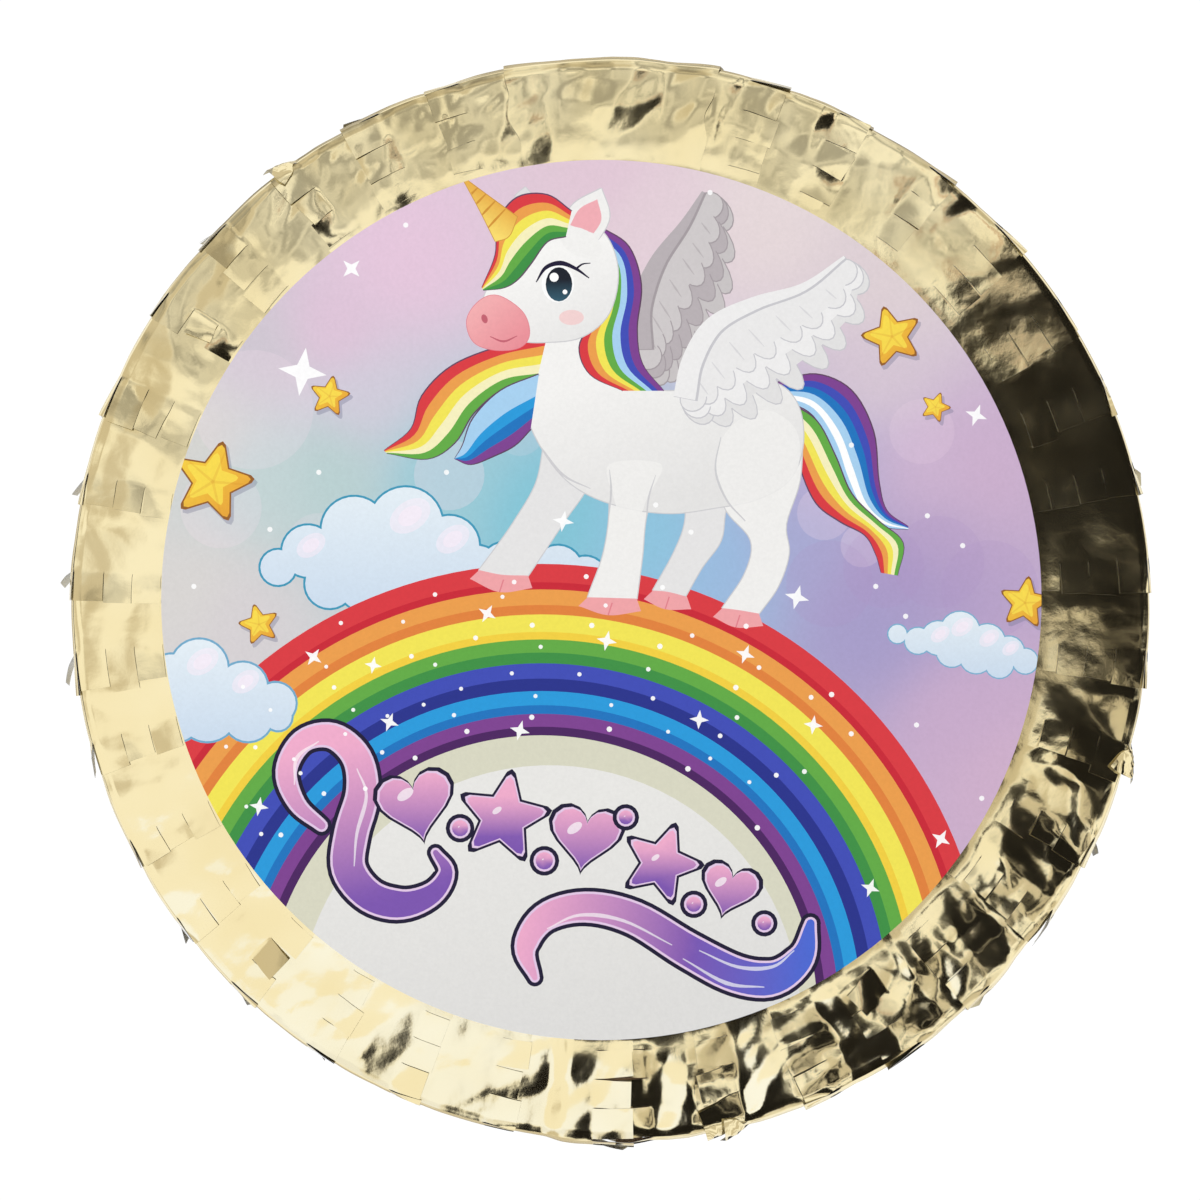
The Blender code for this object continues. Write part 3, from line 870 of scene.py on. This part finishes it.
def draw_picture():
    picture = Picture()
    picture.add(circle(0, 0, 162.0, 180), paint_sky_and_sheen)
    draw_sky(picture)
    draw_cloud(
        picture,
        [(-72, 28, 13.5), (-108, 18, 9.5), (-56, 20, 11), (-91, 26, 12), (-119, 12, 6.5), (-100, 6, 9),
         (-84, 10, 15), (-64, 10, 15), (-98, 16, 9), (-46, 10, 10), (-36, 13, 8), (-27, 12, 8), (-16, 11, 9),
         (-6, 8, 8)],
        (58, 152, 186), 3,
    )
    draw_rainbow(picture)
    draw_cloud(
        picture,
        [(-148, -25, 10.5), (-132, -32, 9), (-158, -30, 10), (-120, -38, 7.5), (-145, -41, 11),
         (-130, -43, 9), (-156, -44, 8), (-119, -43, 5)],
        (112, 170, 204), 2,
    )
    draw_cloud(
        picture,
        [(132, -11.5, 7.2), (124, -14, 6.2), (142, -15.5, 6.6), (150, -19, 5.6), (109, -12.5, 3.4),
         (116.5, -15, 4.8), (156, -22.5, 4.6), (129, -19, 5.6), (138, -21, 6.0), (146.5, -23.5, 5.2)],
        (120, 176, 208), 4, 0.6,
    )
    for star in STARS:
        draw_star(picture, *star)
    draw_tail(picture)
    draw_wing(
        picture, [(15, 92), (15, 108), (21, 124), (31, 138), (38, 150)], -62, -50,
        (16, 24, 30, 33, 33, 31, 28, 22, 15),
        (200, 195, 196), (206, 201, 202), (184, 176, 180), (164, 156, 160),
    )
    draw_body(picture)
    draw_wing(
        picture, [(31, 74), (34, 88), (42, 101), (57, 109), (75, 115), (90, 126)], -58, -38,
        (14, 24, 32, 36, 36, 33, 28, 22, 14),
        (226, 225, 225), (234, 233, 233), (238, 237, 237), (200, 199, 204),
    )
    draw_head(picture)
    draw_flourish(picture)
    draw_sparkles(picture)
    return picture


def triangles(corners, loops, merge):
    """Cuts the plane along closed loops: its points, and each triangle inside the first loop with
    the loops that it lies in."""
    cut = geometry.delaunay_2d_cdt([Vector(c) for c in corners], [], loops, 0, merge, True)
    flat = np.array([tuple(c) for c in cut[0]])
    return flat, [(face, tuple(sorted(over))) for face, over in zip(cut[2], cut[5]) if 0 in over]


def renumbered(flat, faces):
    """Only the points that the faces use, and the faces on their new numbers."""
    used = sorted({v for face in faces for v in face})
    new = {v: k for k, v in enumerate(used)}
    return flat[used], [tuple(new[v] for v in face) for face in faces]


PICTURE_GRID = 5.0
PAPER_WHITE = 0.90
CARD = 0.001
MOUNT_SHARE = 0.92


def inked_triangles():
    """The drawing's outlines cut into triangles, in millimetres from the disc's centre, and the
    colour of each corner under all the layers painted over it."""
    picture = draw_picture()
    radius = PRINT_RADIUS / MM
    corners, loops = [], []
    for outline, _ in picture.layers:
        loops.append(list(range(len(corners), len(corners) + len(outline))))
        corners += outline.tolist()
    reach = np.arange(-radius, radius, PICTURE_GRID)
    for row, z in enumerate(reach):
        shift = PICTURE_GRID / 2 * (row % 2)
        corners += [(x + shift, z) for x in reach if math.hypot(x + shift, z) < radius - 2]
    flat, drawn = triangles(corners, loops, 0.01)
    ink = {}
    for index, (_, over) in enumerate(drawn):
        ink.setdefault(over, []).append(index)
    colours = np.ones((len(drawn), 3, 3))
    for over, indices in ink.items():
        at = flat[[drawn[index][0] for index in indices]].reshape(-1, 2)
        under = np.ones((len(at), 3))
        for layer in over:
            under = picture.layers[layer][1](at, under)
        colours[indices] = under.reshape(-1, 3, 3) * PAPER_WHITE
    return *renumbered(flat, [face for face, _ in drawn]), colours


def border(flat, faces):
    """The points along the outside of a flat mesh, in order round the origin."""
    seen = {}
    for face in faces:
        for a, b in zip(face, face[1:] + face[:1]):
            key = (min(a, b), max(a, b))
            seen[key] = seen.get(key, 0) + 1
    outer = {v for edge, count in seen.items() if count == 1 for v in edge}
    return sorted(outer, key=lambda v: math.atan2(flat[v][1], flat[v][0]))


def picture_mesh(name):
    """The card disc: the inked drawing, and behind it the card's edge and the smaller mount that
    stands on the panel."""
    flat, faces, colours = inked_triangles()
    points = [(PRINT_X + x * MM, PRINT_Y, CENTRE_Z + z * MM) for x, z in flat]
    rim = border(flat, faces)
    ring = rim
    for share, y in ((1, PRINT_Y + CARD), (MOUNT_SHARE, PRINT_Y + CARD), (MOUNT_SHARE, PRINT_BACK)):
        inner = list(range(len(points), len(points) + len(rim)))
        for v in rim:
            x, z = flat[v] * MM * share
            points.append((PRINT_X + x, y, CENTRE_Z + z))
        for k in range(len(rim)):
            after = (k + 1) % len(rim)
            faces.append((ring[k], inner[k], inner[after], ring[after]))
        ring = inner
    faces.append(tuple(reversed(ring)))
    mesh = new_mesh(name, points, faces)
    inked = np.ones((len(mesh.loops), 4))
    inked[: 3 * len(colours), :3] = colours.reshape(-1, 3)
    layer = mesh.color_attributes.new("ink", "FLOAT_COLOR", "CORNER")
    layer.data.foreach_set("color", inked.ravel())
    return mesh


def make_picture(card):
    picture = add_piece("picture_disc", picture_mesh("picture_disc"), (card,), "shell")
    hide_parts("print_disc")


# ---------------------------------------------------------------- the back
flap_low, flap_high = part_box("flap_cover")
cover_low, cover_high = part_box("back_cover")
seal_low, seal_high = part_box("flap_seal")
FLAP_GAP = 0.0008
FLAP_CORNER = 0.0076
HINGE_Z = flap_high.z + FLAP_GAP / 2
TAPE = 0.00012
TAPE_REACH = 0.007
PAPER = 0.0003
PAPER_Y = flap_high.y
PAPER_GRID = 0.0022
PAPER_FOLDS = (0.061, 0.043, 0.024)
PAPER_FOLDS_HIGH = 0.064
FLUTE = 0.0065
COVER_RADIUS = (cover_high.x - cover_low.x) / 2
COVER_STEP = cover_high.y - PAPER_Y
COVER_STEP_RADIUS = 0.1515
COVER_STEP_BLUR = 0.002


def rounded_flap(grow):
    """The flap's outline, grown on every side, as (x, z) points: square above, round below."""
    half, top, bottom = flap_high.x + grow, flap_high.z + grow, flap_low.z - grow
    radius = FLAP_CORNER + grow
    outline = [(half, top), (-half, top)]
    for side, start in ((-1, 180), (1, 270)):
        for turn in range(0, 91, 15):
            angle = math.radians(start + turn)
            x = side * (half - radius) + radius * math.cos(angle)
            outline.append((x, bottom + radius + radius * math.sin(angle)))
    return outline


def paper_height(x, z):
    """Where the back's paper lies along y, over the board's flutes and its own creases."""
    rng = random.Random(11)
    flutes = 0.5 + 0.5 * np.sin(2 * math.pi * x / FLUTE)
    folds = creases(x, z, rng, PAPER_FOLDS) / PAPER_FOLDS_HIGH
    return PAPER_Y - 0.00007 * flutes - 0.00028 * np.clip(folds, 0, 1)


def paper_mesh(name, loops):
    """Paper cut to the first outline less the others, lying on the back."""
    corners, rings = [], []
    for loop in loops:
        rings.append(list(range(len(corners), len(corners) + len(loop))))
        corners += loop
    low, high = np.min(loops[0], axis=0), np.max(loops[0], axis=0)
    for x in np.arange(low[0], high[0], PAPER_GRID):
        corners += [(x, z) for z in np.arange(low[1], high[1], PAPER_GRID)]
    flat, cut = triangles(corners, rings, 0.0002)
    flat, faces = renumbered(flat, [face for face, over in cut if over == (0,)])
    x, z = flat.T
    radius = np.hypot(x, z - CENTRE_Z)
    step = smooth(radius, COVER_STEP_RADIUS - COVER_STEP_BLUR, COVER_STEP_RADIUS + COVER_STEP_BLUR)
    y = paper_height(x, z) + COVER_STEP * step
    return new_mesh(name, np.stack([x, y, z], axis=1).tolist(), [face[::-1] for face in faces])


SEAL_SPOKES = 96
SEAL_BEADS = 32
# The seal's rings: shares of its radius and of its thickness
SEAL_PROFILE = [
    (0.0, 0.6), (0.45, 0.6), (0.50, 1.0), (0.54, 0.6), (0.66, 0.6), (0.70, 0.95), (0.76, 0.95), (0.80, 0.6),
    (0.96, 0.6), (1.0, 0.35), (1.0, 0.0), (0.0, 0.0),
]


def seal_mesh(name):
    """A round foil seal with an embossed ring, a row of beads and a crimped edge."""
    radius = (seal_high.x - seal_low.x) / 2
    centre_z = (seal_high.z + seal_low.z) / 2
    thickness = seal_high.y - seal_low.y
    points, faces = [], []
    for share, rise in SEAL_PROFILE:
        for spoke in range(SEAL_SPOKES):
            angle = 2 * math.pi * spoke / SEAL_SPOKES
            wave = math.cos(angle * SEAL_BEADS)
            bead = 0.35 * wave if 0.69 < share < 0.77 else 0.0
            reach = radius * share * (1 + (0.012 * wave if share > 0.9 else 0))
            reach = min(max(reach, radius * 0.01), radius)
            y = seal_low.y + thickness * min(max(rise + bead * 0.3, 0), 1)
            points.append((reach * math.sin(angle), y, centre_z + reach * math.cos(angle)))
    for ring in range(len(SEAL_PROFILE) - 1):
        for spoke in range(SEAL_SPOKES):
            after = (spoke + 1) % SEAL_SPOKES
            a, b = ring * SEAL_SPOKES, (ring + 1) * SEAL_SPOKES
            faces.append((a + spoke, a + after, b + after, b + spoke))
    faces.append(tuple(reversed(range(SEAL_SPOKES))))
    faces.append(tuple(range(len(points) - SEAL_SPOKES, len(points))))
    return new_mesh(name, points, faces, rounded=True)


def hinge_mesh(name):
    """The strip of paper tape that the flap turns on, with wavy long edges."""
    half, columns, rows = flap_high.x - 0.001, 60, 28
    down = HINGE_Z + np.linspace(TAPE_REACH, -TAPE_REACH, rows + 1)
    x, z = np.meshgrid(np.linspace(-half, half, columns + 1), down)
    z = z + 0.0003 * np.sin(x * 260) * np.abs(z - HINGE_Z) / TAPE_REACH
    y = paper_height(x, z) + TAPE + 0.00002
    points = np.stack([x, y, z], axis=-1).reshape(-1, 3)
    return new_mesh(name, points.tolist(), [face[::-1] for face in grid_faces(rows, columns + 1)])


def make_back(paper, tape, seal):
    turn = full_turn(120)
    ragged = COVER_RADIUS * (1 - 0.003 - 0.003 * np.sin(5 * turn + np.sin(11 * turn)))
    disc = np.stack([ragged * np.cos(turn), CENTRE_Z + ragged * np.sin(turn)], axis=1).tolist()
    opened = paper_mesh("back_paper", [disc, rounded_flap(FLAP_GAP)])
    cover = add_piece("back_paper", opened, (paper,), "shell")
    flap = add_piece("flap_paper", paper_mesh("flap_paper", [rounded_flap(0)]), (paper,), "flap")
    hinge = add_piece("hinge_tape", hinge_mesh("hinge_tape"), (tape,))
    for piece, thickness in ((cover, PAPER), (flap, PAPER), (hinge, TAPE)):
        thicken(piece, thickness)
    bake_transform(hinge)
    sticker = add_piece("seal_disc", seal_mesh("seal_disc"), (seal,), "flap")
    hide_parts("back_cover")
    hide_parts("flap_cover")
    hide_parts("flap_seal")


# ---------------------------------------------------------------- materials
def feed(tree, socket, value):
    """Links a socket to another node's output, or gives it a constant."""
    if isinstance(value, bpy.types.NodeSocket):
        tree.links.new(value, socket)
    else:
        socket.default_value = value


def add_node(tree, kind, **inputs):
    made = tree.nodes.new("ShaderNode" + kind)
    for name, value in inputs.items():
        feed(tree, made.inputs[name], value)
    return made


def add_math(tree, kind, *values):
    made = add_node(tree, "Math")
    made.operation = kind
    for socket, value in zip(made.inputs, values):
        feed(tree, socket, value)
    return made.outputs[0]


def add_mix(tree, factor, first, second, blend="MIX"):
    made = add_node(tree, "Mix")
    made.data_type = "RGBA"
    made.blend_type = blend
    for socket, value in (("Factor", factor), ("A", first), ("B", second)):
        feed(tree, made.inputs[socket], value)
    return made.outputs["Result"]


def add_noise(tree, scale, detail=3.0, roughness=0.55, distortion=0.0):
    """Noise in the object's own coordinates, so scale is in waves a metre."""
    return add_node(
        tree, "TexNoise", Vector=add_node(tree, "TexCoord").outputs["Object"],
        Scale=scale, Detail=detail, Roughness=roughness, Distortion=distortion,
    ).outputs["Fac"]


def add_ramp(tree, fac, stops):
    ramp = add_node(tree, "ValToRGB", Fac=fac)
    while len(ramp.color_ramp.elements) < len(stops):
        ramp.color_ramp.elements.new(0.5)
    for element, (position, colour) in zip(ramp.color_ramp.elements, stops):
        element.position = position
        element.color = (*colour, 1)
    return ramp.outputs["Color"]


def add_bump(tree, shader, height, strength, distance):
    """A bump over the ones that the shader already has."""
    bump = add_node(tree, "Bump", Strength=strength, Distance=distance, Height=height)
    previous = shader.inputs["Normal"].links
    if previous:
        tree.links.new(previous[0].from_socket, bump.inputs["Normal"])
    tree.links.new(bump.outputs["Normal"], shader.inputs["Normal"])


def new_material(name, **inputs):
    """A material, with constants for its shader's inputs by their names without spaces."""
    made = bpy.data.materials.new(name)
    made.use_nodes = True
    shader = made.node_tree.nodes["Principled BSDF"]
    for socket in shader.inputs:
        if socket.name.replace(" ", "") in inputs:
            socket.default_value = inputs[socket.name.replace(" ", "")]
    return made, made.node_tree, shader


def surface(name, tone, stops, rough, bumps, metallic=0.0, specular=0.5):
    """A material of noises. Its colour is the noise tone through a ramp, its roughness a noise of
    some scale in a range, and each bump a noise with a strength and a distance."""
    made, tree, shader = new_material(name, Metallic=metallic, SpecularIORLevel=specular)
    colour = add_ramp(tree, add_noise(tree, *tone), stops)
    tree.links.new(colour, shader.inputs["Base Color"])
    scale, low, high = rough
    spread = add_node(tree, "MapRange", Value=add_noise(tree, scale, 3))
    spread.inputs["To Min"].default_value = low
    spread.inputs["To Max"].default_value = high
    tree.links.new(spread.outputs["Result"], shader.inputs["Roughness"])
    for noise, strength, distance in bumps:
        add_bump(tree, shader, add_noise(tree, *noise), strength, distance)
    return made, tree, shader, colour


def gold_film_material():
    return surface(
        "gold_film", (25, 2), [(0.35, (0.93, 0.80, 0.47)), (0.65, (0.97, 0.86, 0.55))], (60, 0.04, 0.11),
        [((55, 2, 0.5, 0.4), 0.14, 0.0008), ((420, 2, 0.5), 0.05, 0.0002)], metallic=1.0,
    )[0]


def silver_film_material():
    return surface(
        "film_back", (40, 2), [(0.35, (0.52, 0.53, 0.55)), (0.65, (0.66, 0.67, 0.69))], (80, 0.22, 0.36),
        [((120, 2, 0.5, 0.5), 0.3, 0.0005)], metallic=0.9,
    )[0]


def print_card_material():
    """Satin laminated card, with its ink from the drawing and a faint speckle."""
    made, tree, shader, speckle = surface(
        "print_card", (900, 2), [(0.3, (0.955, 0.955, 0.955)), (0.7, (1, 1, 1))], (160, 0.36, 0.50),
        [((22, 2), 0.25, 0.0012), ((1400, 2), 0.08, 0.00008)], specular=0.2,
    )
    ink = add_node(tree, "Attribute")
    ink.attribute_name = "ink"
    colour = add_mix(tree, 1.0, ink.outputs["Color"], speckle, "MULTIPLY")
    tree.links.new(colour, shader.inputs["Base Color"])
    return made


def white_paper_material(name, light, dark):
    """Soft uncoated paper, with fibres, faint stains and a fine tooth."""
    return surface(
        name, (30, 5, 0.65), [(0.25, dark), (0.7, light)], (300, 0.70, 0.88),
        [((80, 5, 0.6, 0.8), 0.30, 0.0005), ((1500, 3), 0.25, 0.00006)], specular=0.25,
    )[0]


def board_material(name, edges_face_y):
    """Brown corrugated board: ribbed liners, and its flutes showing along the cut edges, which face along y
    on the wall and across it on the panels. The flutes' hollows there are painted dark as painted shade."""
    made, tree, shader, fibre = surface(
        name, (260, 5, 0.7), [(0.3, (0.33, 0.205, 0.105)), (0.7, (0.47, 0.31, 0.175))], (200, 0.78, 0.92),
        [], specular=0.2,
    )
    calc = partial(add_math, tree)
    where = add_node(tree, "TexCoord")
    place = add_node(tree, "SeparateXYZ", Vector=where.outputs["Object"])
    normal = add_node(tree, "SeparateXYZ", Vector=where.outputs["Normal"])
    along = calc("ADD", place.outputs["X"], place.outputs["Z"])
    void = calc("ABSOLUTE", calc("SINE", calc("MULTIPLY", along, 2 * math.pi / FLUTE)))
    facing = calc("ABSOLUTE", normal.outputs["Y"])
    edge = calc("GREATER_THAN" if edges_face_y else "LESS_THAN", facing, 0.5)
    # Painted shade: the flutes' hollows on the cut edges get a dark brown in place of the shade inside them
    flute_shade = calc("MULTIPLY", edge, calc("LESS_THAN", void, 0.55))
    tree.links.new(add_mix(tree, flute_shade, fibre, (0.10, 0.062, 0.034, 1)), shader.inputs["Base Color"])
    flute = calc("SINE", calc("MULTIPLY", place.outputs["X"], 2 * math.pi / FLUTE))
    add_bump(tree, shader, flute, 0.30, 0.0002)
    add_bump(tree, shader, add_noise(tree, 700, 3), 0.25, 0.0001)
    return made


def chipboard_material():
    """Grey-brown pressed board with flecks."""
    return surface(
        "chipboard", (420, 5, 0.75),
        [(0.3, (0.20, 0.175, 0.145)), (0.5, (0.34, 0.30, 0.25)), (0.72, (0.43, 0.39, 0.33))],
        (90, 0.80, 0.95), [((900, 3), 0.3, 0.0001)],
    )[0]


def seal_material():
    """Satin gold foil paper."""
    return surface(
        "seal_foil", (70, 3), [(0.35, (0.80, 0.60, 0.25)), (0.65, (0.90, 0.71, 0.34))], (260, 0.20, 0.34),
        [((500, 3), 0.15, 0.0001)], metallic=1.0,
    )[0]


def finish_cad(finishes):
    """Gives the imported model's own nodes their finish."""
    for node, finish in finishes.items():
        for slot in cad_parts[node].material_slots:
            slot.material = finish


# ---------------------------------------------------------------- studio
# What the film mirrors in a direction goes by its bearing, in radians counter-clockwise from the
# right, and by its slope away from straight ahead. Dark wedges: their bearings, least slope, and
# how high a noise has to be there
DARK_WEDGES = [
    (0.02, 0.90, 0.015, 0.0), (1.13, 1.19, 0.12, 0.0), (-0.30, 0.02, 0.165, 0.0),
    (-0.86, -0.30, 0.07, 0.60), (-1.90, -0.86, 0.02, 0.10),
]
WEDGE_REACH = 0.60
# Dark cards at the sides: their slopes to the right and up
DARK_CARDS = [((1.1, 1.9), (-0.4, 0.6)), ((-2.0, -1.2), (-0.5, 0.3))]
# Bearings and slopes of the dull overhead, the thin amber card and the whiter one
DULL = (0.85, 2.6, 0.20), (0.07, 1.2, 0.05)
AMBER = (0.93, 1.0, 0.02), (0.13, 0.4, 0.01)
WHITER = (-2.62, -1.90, 0.10), (0.04, 0.70, 0.05)
WARP = 0.10


def make_world():
    """A bright warm studio with dark gaps between its lights, which only the film mirrors. All
    other rays meet plain white."""
    world = bpy.data.worlds.new("studio")
    bpy.context.scene.world = world
    world.use_nodes = True
    tree = world.node_tree
    tree.nodes.clear()
    calc = partial(add_math, tree)
    direction = add_node(tree, "TexCoord").outputs["Generated"]

    def noise(scale, detail, output="Fac"):
        return add_node(tree, "TexNoise", Vector=direction, Scale=scale, Detail=detail).outputs[output]

    def clamped(value):
        return calc("MINIMUM", calc("MAXIMUM", value, 0.0), 1.0)

    def between(value, low, high, edge):
        """1 where value lies between low and high, falling to 0 over edge."""
        away = calc("ABSOLUTE", calc("SUBTRACT", value, (low + high) / 2))
        return clamped(calc("DIVIDE", calc("SUBTRACT", (high - low) / 2, away), edge))

    def region(first, first_range, second, second_range):
        return calc("MULTIPLY", between(first, *first_range), between(second, *second_range))

    # Slopes to the right and up of a direction, towards the front or the back, a little warped
    split = add_node(tree, "SeparateXYZ", Vector=direction)
    warp = add_node(tree, "SeparateColor", Color=noise(9.0, 2.5, "Color"))
    depth = calc("MAXIMUM", calc("ABSOLUTE", split.outputs["Y"]), 0.05)
    right, up = [
        calc("ADD", calc("DIVIDE", split.outputs[axis], depth), calc("MULTIPLY_ADD", shift, WARP, -WARP / 2))
        for axis, shift in (("X", warp.outputs[0]), ("Z", warp.outputs[1]))
    ]
    bearing = calc("ARCTAN2", up, right)
    far = calc("SQRT", calc("ADD", calc("MULTIPLY", right, right), calc("MULTIPLY", up, up)))

    patches = noise(16.0, 2.0)
    gaps = []
    for low, high, nearest, least in DARK_WEDGES:
        wedge = region(bearing, (low, high, 0.02), far, (nearest, WEDGE_REACH, 0.01))
        gaps.append(calc("MULTIPLY", wedge, calc("GREATER_THAN", patches, least)))
    for across, height in DARK_CARDS:
        gaps.append(region(right, (*across, 0.05), up, (*height, 0.05)))
    soft = clamped(calc("MULTIPLY_ADD", noise(7.0, 2.0), 5.0, -2.1))
    dull = region(bearing, DULL[0], far, DULL[1])
    gaps.append(calc("MULTIPLY", calc("MULTIPLY", dull, soft), 0.60))
    dark = gaps[0]
    for gap in gaps[1:]:
        dark = calc("MAXIMUM", dark, gap)

    light = add_ramp(tree, noise(3.4, 1.5), [(0.47, (0.66, 0.61, 0.52)), (0.53, (0.99, 0.98, 0.95))])
    glint = region(bearing, AMBER[0], far, AMBER[1])
    light = add_mix(tree, calc("MULTIPLY", glint, 0.8), light, (0.46, 0.20, 0.08, 1))
    glow = region(bearing, WHITER[0], far, WHITER[1])
    light = add_mix(tree, calc("MULTIPLY", glow, 0.75), light, (1.02, 1.12, 1.45, 1))
    mirrored = add_mix(tree, dark, light, (0.011, 0.010, 0.009, 1))
    glossy = add_node(tree, "LightPath").outputs["Is Glossy Ray"]
    seen = add_mix(tree, glossy, (1.04, 1.04, 1.04, 1), mirrored)
    background = add_node(tree, "Background", Color=seen)
    add_node(tree, "OutputWorld", Surface=background.outputs["Background"])


FRAME_WIDTH = 0.443
LENS = 85.0
SENSOR = 36.0
CAMERA_X = -0.004
FLOOR_HALF = 3
FLOOR_DROP = 1.3
KEY_PLACE = (-0.9, -1.3, CENTRE_Z + 0.9)


def add_to_scene(name, data, place):
    made = bpy.data.objects.new(name, data)
    bpy.context.scene.collection.objects.link(made)
    made.location = place
    return made


def make_studio():
    bpy.context.scene.view_settings.view_transform = "Standard"
    make_world()

    lamp = bpy.data.lights.new("key_light", "AREA")
    lamp.shape = "DISK"
    lamp.size = 0.9
    lamp.energy = 5
    light = add_to_scene("key_light", lamp, KEY_PLACE)
    toward = Vector((0, 0, CENTRE_Z)) - Vector(KEY_PLACE)
    light.rotation_euler = toward.to_track_quat("-Z", "Y").to_euler()
    light.visible_glossy = False

    corners = [(x * FLOOR_HALF, y * FLOOR_HALF, 0) for x, y in ((-1, -1), (1, -1), (1, 1), (-1, 1))]
    mesh = new_mesh("floor", corners, [(0, 1, 2, 3)])
    mesh.materials.append(new_material("pale_floor", BaseColor=(0.985, 0.985, 0.98, 1), Roughness=0.9)[0])
    floor = add_to_scene("floor", mesh, (0, 0, CENTRE_Z - FLOOR_DROP))
    floor.visible_glossy = False

    lens = bpy.data.cameras.new("camera")
    lens.lens = LENS
    lens.sensor_width = SENSOR
    distance = FRAME_WIDTH * LENS / SENSOR
    camera = add_to_scene("camera", lens, (CAMERA_X, -HALF_WIDTH - distance, CENTRE_Z))
    camera.rotation_euler = (math.pi / 2, 0, 0)
    bpy.context.scene.camera = camera


make_studio()
make_film(gold_film_material(), silver_film_material())
make_picture(print_card_material())
make_back(
    white_paper_material("white_paper", (0.80, 0.79, 0.76), (0.70, 0.685, 0.65)),
    white_paper_material("paper_tape", (0.76, 0.745, 0.70), (0.69, 0.67, 0.62)),
    seal_material(),
)
panel_board, chipboard = board_material("panel_board", False), chipboard_material()
finish_cad({
    "front_panel": panel_board, "back_panel": panel_board, "fill_flap": panel_board,
    "side_wall": board_material("wall_board", True), "wall_splice": chipboard, "hanger_plate": chipboard,
    "front_corner_strip": chipboard, "back_corner_strip": chipboard,
})
